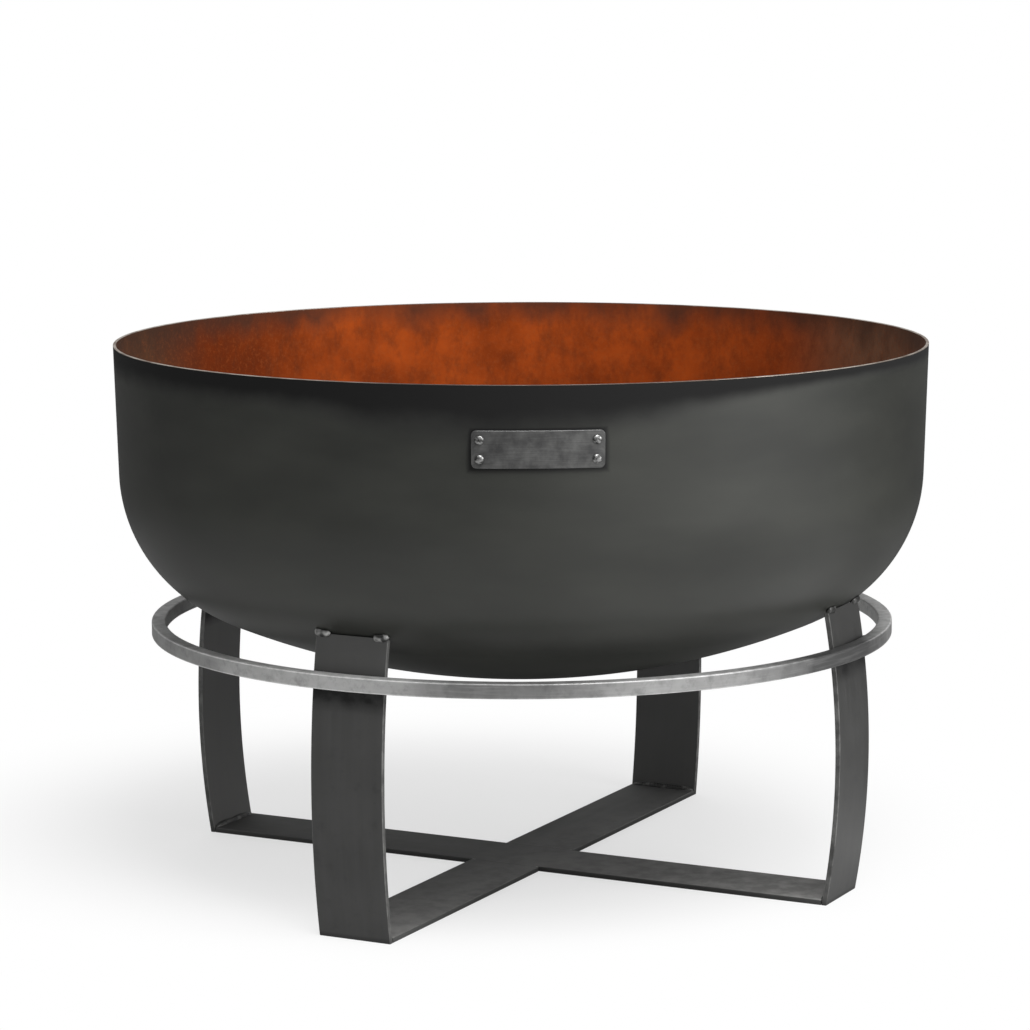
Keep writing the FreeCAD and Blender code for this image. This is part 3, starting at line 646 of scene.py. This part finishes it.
def eased_run(start, end, steps):
    """Places along a bar, each with the inset of the section there, which eases the edges of the cut ends."""
    ends = [(0, CUT_EDGE), (EDGE_MIDDLE * CUT_EDGE, EDGE_MIDDLE * CUT_EDGE), (CUT_EDGE, 0)]
    length = end - start - 2 * CUT_EDGE
    run = [(start + inwards, inset) for inwards, inset in ends]
    run += [(start + CUT_EDGE + length * step / steps, 0) for step in range(1, steps)]
    return run + [(end - inwards, inset) for inwards, inset in reversed(ends)]


def turned(points, angle):
    """Points turned round the upright axis."""
    turn = Matrix.Rotation(angle, 3, "Z")
    return [turn @ point for point in points]


# Bowl

def knuckle_centre():
    """Where the bend between wall and crown has its centre: radius, height above the bottom."""
    slope = math.tan(WALL_DRAFT)
    span = CROWN_RADIUS - KNUCKLE_RADIUS
    base = RIM_RADIUS - KNUCKLE_RADIUS / math.cos(WALL_DRAFT) - BOWL_DEPTH * slope
    lead = CROWN_RADIUS - base * slope
    share = 1 + slope ** 2
    height = (lead - math.sqrt(lead ** 2 - share * (base ** 2 + CROWN_RADIUS ** 2 - span ** 2))) / share
    return base + height * slope, height


KNUCKLE_REACH, KNUCKLE_RISE = knuckle_centre()
CROWN_SWEEP = math.atan2(KNUCKLE_REACH, CROWN_RADIUS - KNUCKLE_RISE)


def dish(offset, steps):
    """The bowl's outside from near the axis to the wall's start, moved out by offset: radius, height."""
    crown, knuckle = CROWN_RADIUS + offset, KNUCKLE_RADIUS + offset
    run = []
    for step in range(1, steps + 1):
        angle = CROWN_SWEEP * step / steps
        run.append((crown * math.sin(angle), CROWN_RADIUS - crown * math.cos(angle)))
    for step in range(1, steps + 1):
        angle = CROWN_SWEEP + (math.pi / 2 - WALL_DRAFT - CROWN_SWEEP) * step / steps
        run.append((KNUCKLE_REACH + knuckle * math.sin(angle), KNUCKLE_RISE - knuckle * math.cos(angle)))
    return run


def wall(offset, drop):
    """A point of the wall below the rim, moved out by offset: radius, height."""
    return RIM_RADIUS + offset / math.cos(WALL_DRAFT) - drop * math.tan(WALL_DRAFT), BOWL_DEPTH - drop


def underside(radius):
    """Height of the bowl's outside above the floor, at a radius on the knuckle."""
    return BOWL_BOTTOM + KNUCKLE_RISE - math.sqrt(KNUCKLE_RADIUS ** 2 - (radius - KNUCKLE_REACH) ** 2)


def fire_bowl():
    """Dish of one sheet with a slightly eased rim: coated outside, bare on the rim, burnt inside."""
    steps, around = 28, 288
    drops = [95, 70, 50, 34, 20, 10, 4, 1.5]
    inner = -BOWL_WALL
    outside = dish(0, steps) + [wall(0, drop) for drop in drops]
    inside = [wall(inner, drop) for drop in reversed(drops)] + list(reversed(dish(inner, steps)))
    rim = []
    for offset, side, shares in ((0, -1, (0, 0.5, 1)), (inner, 1, (1, 0.5, 0))):
        radius, height = wall(offset, RIM_EDGE)
        for share in shares:
            angle = share * math.pi / 2
            inwards, up = RIM_EDGE * (1 - math.cos(angle)), RIM_EDGE * math.sin(angle)
            rim.append((radius + side * inwards, height + up))
    zones = [0] * len(outside) + [1] * (len(rim) - 1) + [2] * len(inside)
    angles = [2 * math.pi * number / around for number in range(around)]
    rings = []
    for radius, height in outside + rim + inside:
        rings.append([Vector((radius * math.cos(angle), radius * math.sin(angle), BOWL_BOTTOM + height))
                      for angle in angles])
    piece("bowl", [rings], [SHEET_FINISH, RIM_FINISH, RUST_FINISH], "bowl", ["fire_bowl"],
          zones=zones)


def on_wall(across, up, out):
    """A point on the front wall: along its curve, up it from the plate's middle, and off it."""
    angle = across / PLATE_RADIUS - math.pi / 2
    reach = PLATE_RADIUS + out * math.cos(WALL_DRAFT) + up * math.sin(WALL_DRAFT)
    height = PLATE_MIDDLE - out * math.sin(WALL_DRAFT) + up * math.cos(WALL_DRAFT)
    return Vector((reach * math.cos(angle), reach * math.sin(angle), height))


def name_plate():
    """Strip bent to the wall, with rounded corners and an eased front edge; its face is bare."""
    steps, flat_steps, edge = 10, 24, PLATE_EDGE
    half, reach = PLATE_HEIGHT / 2, PLATE_LENGTH / 2
    corner_start = reach - PLATE_CORNER
    right = []
    for step in range(steps + 1):
        angle = math.radians(90 * step / steps)
        right.append((corner_start + PLATE_CORNER * math.sin(angle),
                      half - PLATE_CORNER * (1 - math.cos(angle)), 0))
    right.append((reach, half - PLATE_CORNER - edge / 2, edge))
    left = [(-across, up, ease) for across, up, ease in reversed(right)]
    middle = [(corner_start * (2 * step / flat_steps - 1), half, 0) for step in range(1, flat_steps)]
    rings = []
    for across, up, ease in left + middle + right:
        front = PLATE_GAP + PLATE_THICK - ease
        cut = EDGE_MIDDLE * edge
        upper = [(up, PLATE_GAP), (up, front - edge), (up - cut, front - cut),
                 (up - edge, front), (up - 2 * edge, front), (up / 3, front)]
        lower = [(-high, out) for high, out in reversed(upper)]
        rings.append([on_wall(across, high, out) for high, out in upper + lower])
    piece("plate", [rings], [PLATE_FINISH], "bowl", ["name_plate"])


def rivet(name, seed):
    """Dome-headed rivet through plate and wall, with a rounded tail inside and hammer dents on its head."""
    low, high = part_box("rivet_" + name)
    centre = (low + high) / 2 / MM
    angle = math.atan2(centre.y, centre.x)
    out = Vector((math.cos(angle) * math.cos(WALL_DRAFT), math.sin(angle) * math.cos(WALL_DRAFT),
                  -math.sin(WALL_DRAFT)))
    side = Vector((-math.sin(angle), math.cos(angle), 0))
    up = out.cross(side)
    foot = on_wall((angle + math.pi / 2) * PLATE_RADIUS, centre.z - PLATE_MIDDLE, 0)
    seat = PLATE_GAP + PLATE_THICK + RIVET_SEAT
    back = -BOWL_WALL - RIVET_SEAT
    steps, around, sweep, seed_step = 9, 40, math.radians(88), 7.3
    profile = []
    for step in range(steps):
        turn = sweep * (1 - step / steps)
        profile.append((RIVET_TAIL / 2 * math.cos(turn), back - RIVET_TAIL_HEIGHT * math.sin(turn)))
    profile += [(RIVET_TAIL / 2, back), (RIVET_SHANK / 2, back), (RIVET_SHANK / 2, seat),
                (RIVET_HEAD / 2 - RIVET_LIP, seat), (RIVET_HEAD / 2, seat + RIVET_LIP)]
    for step in range(1, steps + 1):
        turn = sweep * step / steps
        rise = RIVET_LIP + (RIVET_DOME - RIVET_LIP) * math.sin(turn)
        profile.append((RIVET_HEAD / 2 * math.cos(turn), seat + rise))
    rings = []
    for reach, depth in profile:
        on_head = depth > seat + 1.5 * RIVET_LIP
        ring = []
        for number in range(around):
            turn = 2 * math.pi * number / around
            spot = Vector((reach * math.cos(turn), reach * math.sin(turn), depth))
            dent = DENT_DEPTH * noise.noise(spot / DENT_SIZE + X * (seed * seed_step)) if on_head else 0
            ring.append(foot + side * spot.x + up * spot.y + out * (depth + dent))
        rings.append(ring)
    piece(name + "_rivet", [rings], [RIVET_FINISH], "bowl", ["rivet_" + name])


# Stand

def leg(name):
    """Flat bar bowed outwards. It is cut level at the foot, and at the top at a slant towards the bowl."""
    rings = []
    for height, inset in eased_run(0, LEG_HEIGHT, steps=44):
        thick = bow(LEG_BEND_RADIUS, height) - bow(LEG_BEND_RADIUS - FLAT_THICK, height)
        points, shares = section(FLAT_WIDTH, thick, FLAT_EDGE, inset)
        slant = LEG_TOP_SLANT if height > LEG_HEIGHT - 2 * CUT_EDGE else 0
        ring = []
        for point in points:
            level = height + slant * (0.5 + point.x / thick)
            ring.append(Vector((bow(LEG_BEND_RADIUS - FLAT_THICK / 2, level) + point.x, point.y, level)))
        rings.append(turned(ring, LEG_FACING[name]))
    piece(name + "_leg", [rings], [BAR_FINISH], "stand", ["leg_" + name], shares=shares)


def base_bar(name, facing, start, end, node):
    """Flat bar on the floor along the direction of a leg."""
    rings = []
    for reach, inset in eased_run(start, end, steps=24):
        points, shares = section(FLAT_WIDTH, FLAT_THICK, FLAT_EDGE, inset)
        ring = [Vector((reach, point.y, FLAT_THICK / 2 - point.x)) for point in points]
        rings.append(turned(ring, facing))
    piece(name, [rings], [BAR_FINISH], "stand", [node], shares=shares)


def hoop():
    """Square bar rolled into a closed hoop."""
    around = 300
    points, shares = section(HOOP_BAR, HOOP_BAR, HOOP_EDGE)
    middle, level = (HOOP_INSIDE + HOOP_OUTSIDE) / 2, HOOP_TOP - HOOP_BAR / 2
    ring = [Vector((middle + point.x, 0, level + point.y)) for point in points]
    rings = [turned(ring, -2 * math.pi * number / around) for number in range(around)]
    piece("hoop_ring", [rings], [HOOP_FINISH], "stand", ["hoop"], closed=True, shares=shares)


def bead(start, end, seed, across, up, half_width, half_height, pitch):
    """Rings of a weld bead with curved ripples. Its size wanders a little and its ends are rounded."""
    around, steps_per_ripple, least_steps = 20, 6, 14
    blunt, least_taper = 5, 0.004
    ripple_low, ripple_depth = 0.93, 0.12
    wander_depth, wander_length, seed_step, off_grid = 0.16, 7, 3.1, 0.5
    run = end - start
    # The rings turn round the run, so that the faces look outwards
    if across.cross(up).dot(run) < 0:
        across = -across
    count = max(least_steps, round(run.length / pitch * steps_per_ripple))
    rings = []
    for number in range(count + 1):
        share = number / count
        length = share * run.length
        from_middle = abs(2 * share - 1)
        taper = max(1 - from_middle ** blunt, least_taper) ** 0.5
        ripple = ripple_low + ripple_depth * abs(math.cos(math.pi * length / pitch))
        spot = Vector((length / wander_length, seed * seed_step, off_grid))
        wander = 1 + wander_depth * noise.noise(spot)
        size = taper * ripple * wander
        ring = []
        for spoke in range(around):
            turn = 2 * math.pi * spoke / around
            lag = pitch / 2 * taper * math.cos(turn) ** 2 * (1 - from_middle)
            place = start + run * share - run.normalized() * lag
            sideways = across * (half_width * size * math.cos(turn))
            ring.append(place + sideways + up * (half_height * size * math.sin(turn)))
        rings.append(ring)
    return rings


def beads(name, lines, shape, facing, nodes, finish, clear_of_bowl=False):
    """A piece of weld beads along lines of start, end and seed, in the frame of a leg: X outwards, Y along
    the bar's width, Z up. Clear of the bowl, a bead is pressed flat below it and keeps some thickness."""
    skins = []
    for line in lines:
        rings = bead(*line, *shape)
        for ring in rings if clear_of_bowl else []:
            for spoke, point in enumerate(ring):
                below_top = 1 - math.sin(2 * math.pi * spoke / len(ring))
                roof = underside(math.hypot(point.x, point.y)) - NUB_CLEARANCE
                point.z = min(point.z, roof - NUB_HALF_THICK * below_top)
        skins.append([turned(ring, facing) for ring in rings])
    piece(name, skins, [finish], "stand", nodes)


def leg_welds(name, seed):
    """Beads on one leg: the nubs that carry the bowl, the foot's inside corner, and the hoop's two sides."""
    facing, half = LEG_FACING[name], FLAT_WIDTH / 2
    foot_seed, hoop_seed = seed + 5, seed + 8
    nub_radius = LEG_END_RADIUS - NUB_INSET
    hoop_face = math.sqrt(HOOP_INSIDE ** 2 - half ** 2) - HOOP_BEAD_SUNK
    nubs, sides = [], []
    for side in (-1, 1):
        start = Vector((nub_radius, side * (half + NUB_OVERHANG), LEG_HEIGHT + NUB_OUTER_RISE))
        end = Vector((nub_radius, side * (half - NUB_REACH), LEG_HEIGHT + NUB_INNER_RISE))
        nubs.append((start, end, seed + side))
        low = Vector((hoop_face, side * (half + HOOP_BEAD_OUT), HOOP_TOP - HOOP_BAR + HOOP_BEAD_END))
        high = Vector((hoop_face, side * (half + HOOP_BEAD_OUT), HOOP_TOP - HOOP_BEAD_END))
        sides.append((low, high, hoop_seed + side))
    foot_end = half - FOOT_BEAD_END
    corner = Vector((LEG_INSIDE, 0, FLAT_THICK))
    foot = [(corner - Y * foot_end, corner + Y * foot_end, foot_seed)]
    beads(name + "_seat_beads", nubs, (X, Z, *NUB_BEAD), facing, ["seat_" + name], WELD_FINISH,
          clear_of_bowl=True)
    beads(name + "_foot_bead", foot, (X, Z, *FOOT_BEAD), facing, ["foot_weld_" + name], WELD_FINISH)
    beads(name + "_hoop_beads", sides, (X, Y, *HOOP_BEAD), facing, ["hoop_weld_" + name], WELD_FINISH)


def stand():
    """Legs with their welds, then the cross: a through bar and two half bars, with a bead over each joint."""
    seeds_per_leg, first_cross_seed = 20, 90
    for number, name in enumerate(LEGS):
        leg(name)
        leg_welds(name, seeds_per_leg * number)
    end = LEG_INSIDE - BUTT_GAP
    half = FLAT_WIDTH / 2
    reach, low = half + ROOT_GAP / 2, FLAT_THICK - CROSS_BEAD_SUNK
    base_bar("through_bar", LEG_FACING["front_right"], -end, end, "base_through_bar")
    for side, name in (("front", "front_left"), ("rear", "rear_right")):
        facing = LEG_FACING[name]
        base_bar(side + "_half_bar", facing, half + ROOT_GAP, end, "base_half_bar_" + side)
        seam = [(Vector((reach, -half, low)), Vector((reach, half, low)), first_cross_seed + len(side))]
        beads(side + "_cross_bead", seam, (X, Z, *CROSS_BEAD), facing, [], BAR_FINISH)
        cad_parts["cross_weld_" + side].data.materials[0] = WELD_FINISH


# Camera, light and stage

def look():
    """Camera at the photograph's place and angle."""
    around = Matrix.Rotation(CAMERA_AZIMUTH, 3, "Z")
    forward = around @ Vector((math.sin(CAMERA_YAW) * math.cos(CAMERA_PITCH),
                               math.cos(CAMERA_YAW) * math.cos(CAMERA_PITCH), -math.sin(CAMERA_PITCH)))
    right = forward.cross(Z).normalized()
    up = right.cross(forward)
    level = Matrix((right, up, -forward)).transposed()
    rolled = level @ Matrix.Rotation(CAMERA_ROLL, 3, "Z")
    data = bpy.data.cameras.new("camera")
    data.lens = CAMERA_LENS
    data.sensor_width = SENSOR_WIDTH
    data.clip_end = CAMERA_RANGE
    camera = bpy.data.objects.new("camera", data)
    bpy.context.scene.collection.objects.link(camera)
    place = around @ Vector((0, -CAMERA_DISTANCE, CAMERA_HEIGHT)) * MM
    camera.matrix_world = Matrix.Translation(place) @ rolled.to_4x4()
    bpy.context.scene.camera = camera


def rays(tree):
    """Whether light is seen straight, also through glass, and whether it is seen in a gloss."""
    path = add(tree, "LightPath").outputs
    straight = add(tree, "Math", {0: path["Is Camera Ray"], 1: path["Is Transmission Ray"]},
                   operation="MAXIMUM")
    return straight, path["Is Glossy Ray"]


def room_light(tree, direction, bright_side, levels):
    """Light that comes from a direction of the room: a dark level all round, and a bright one to one side."""
    facing = add(tree, "VectorMath", {0: direction, 1: bright_side}, operation="DOT_PRODUCT").outputs["Value"]
    return add(tree, "MapRange", {"Value": facing, "From Min": ROOM_EDGE[0], "From Max": ROOM_EDGE[1],
                                  "To Min": levels[0], "To Max": levels[1]}, **SMOOTH)


def studio_floor():
    """Matt paper sweep that keeps the object's shadow. Seen straight it turns into the white of the
    background away from the object. In a gloss it is dark under the object and carries on the light of the
    room beyond."""
    material, tree, shader = new_material("studio_floor", {"Base Color": FLOOR_COLOUR, "Roughness": 0.9})
    place = add(tree, "TexCoord").outputs["Object"]
    straight, in_gloss = rays(tree)
    from_shade = add(tree, "VectorMath", {0: place, 1: FLOOR_SHADE}, operation="DISTANCE").outputs["Value"]
    seen_share = add(tree, "MapRange", {"Value": from_shade, "From Min": FLOOR_SHADE_ENDS[0],
                                        "From Max": FLOOR_SHADE_ENDS[1], "To Min": FLOOR_GLOW, "To Max": 1.0},
                     **SMOOTH)
    share = add(tree, "Math", {0: straight, 1: seen_share, 2: in_gloss}, operation="MULTIPLY_ADD")

    outwards = add(tree, "VectorMath", {0: place}, operation="NORMALIZE").outputs["Vector"]
    reach = add(tree, "VectorMath", {0: place}, operation="LENGTH").outputs["Value"]
    backwards = add(tree, "SeparateXYZ", {"Vector": outwards}).outputs["Y"]
    pool_level = add(tree, "MapRange", {"Value": backwards, "From Min": FLOOR_POOL_SIDES[0],
                                        "From Max": FLOOR_POOL_SIDES[1], "To Min": FLOOR_POOL[0],
                                        "To Max": FLOOR_POOL[1]})
    pool = add(tree, "MapRange", {"Value": reach, "From Min": FLOOR_POOL_ENDS[0],
                                  "From Max": FLOOR_POOL_ENDS[1], "To Min": pool_level, "To Max": 0.0})
    to_dim = add(tree, "VectorMath", {0: outwards, 1: FLOOR_DIM_SIDE}, operation="DOT_PRODUCT")
    dimmed = add(tree, "MapRange", {"Value": to_dim.outputs["Value"], "From Min": FLOOR_DIM_EDGE[0],
                                    "From Max": FLOOR_DIM_EDGE[1], "To Min": pool, "To Max": FLOOR_DIM})
    bright = room_light(tree, outwards, FLOOR_BRIGHT_SIDE, FLOOR_GLOSS)
    beyond = add(tree, "Math", {0: bright, 1: dimmed}, operation="MAXIMUM")
    from_dark = add(tree, "VectorMath", {0: place, 1: FLOOR_GLOSS_SHADE}, operation="DISTANCE")
    lit = add(tree, "MapRange", {"Value": from_dark.outputs["Value"], "From Min": FLOOR_GLOSS_ENDS[0],
                                 "From Max": FLOOR_GLOSS_ENDS[1], "To Min": FLOOR_GLOSS_DARK,
                                 "To Max": beyond}, **SMOOTH)
    strength = add(tree, "MapRange", {"Value": in_gloss, "To Min": 1.0, "To Max": lit})
    glow = add(tree, "Emission", {"Strength": strength})
    mix = add(tree, "MixShader", {0: share, 1: shader, 2: glow})
    plug(tree.nodes["Material Output"], {"Surface": mix})
    return material


def studio_room():
    """White background seen straight. For the object it is a room, brighter to the right and behind."""
    world = bpy.data.worlds.new("studio")
    world.use_nodes = True
    tree = world.node_tree
    direction = add(tree, "TexCoord").outputs["Generated"]
    straight, in_gloss = rays(tree)
    height = add(tree, "SeparateXYZ", {"Vector": direction}).outputs["Z"]
    overhead = add(tree, "MapRange", {"Value": height, "From Min": ROOM_OVERHEAD_EDGE[0],
                                      "From Max": ROOM_OVERHEAD_EDGE[1], "To Max": ROOM_OVERHEAD})
    gloss = room_light(tree, direction, ROOM_BRIGHT_SIDE, ROOM_GLOSS)
    on_gloss = add(tree, "Math", {0: gloss, 1: overhead}, operation="MAXIMUM")
    matt = room_light(tree, direction, ROOM_BRIGHT_SIDE, ROOM_MATT)
    rear = room_light(tree, direction, ROOM_REAR_SIDE, ROOM_REAR_MATT)
    on_matt = add(tree, "Math", {0: matt, 1: rear}, operation="MAXIMUM")
    lit = add(tree, "MapRange", {"Value": in_gloss, "To Min": on_matt, "To Max": on_gloss})
    strength = add(tree, "MapRange", {"Value": straight, "To Min": lit, "To Max": 1.0})
    plug(tree.nodes["Background"], {"Color": "#ffffff", "Strength": strength})
    return world


def stage():
    """Pale floor that runs into a white background, soft lamps and the room's light."""
    scene = bpy.context.scene
    half = FLOOR_SIZE / 2
    mesh = bpy.data.meshes.new("floor")
    corners = [(-half, -half, 0), (half, -half, 0), (half, half, 0), (-half, half, 0)]
    mesh.from_pydata(corners, [], [(0, 1, 2, 3)])
    mesh.materials.append(studio_floor())
    floor = bpy.data.objects.new("floor", mesh)
    scene.collection.objects.link(floor)
    for name, place, size, power in LAMPS:
        data = bpy.data.lights.new(name, "AREA")
        data.shape = "DISK"
        data.size = size
        data.energy = power
        lamp = bpy.data.objects.new(name, data)
        scene.collection.objects.link(lamp)
        lamp.location = place
        aim = Vector((0, 0, RIM_HEIGHT * MM / 2)) - Vector(place)
        lamp.rotation_mode = "QUATERNION"
        lamp.rotation_quaternion = aim.to_track_quat("-Z", "Y")
    scene.world = studio_room()
    scene.view_settings.view_transform = "Standard"


look()
stage()
fire_bowl()
name_plate()
for seed, corner in enumerate(("upper_left", "upper_right", "lower_left", "lower_right")):
    rivet(corner, seed)
hoop()
stand()
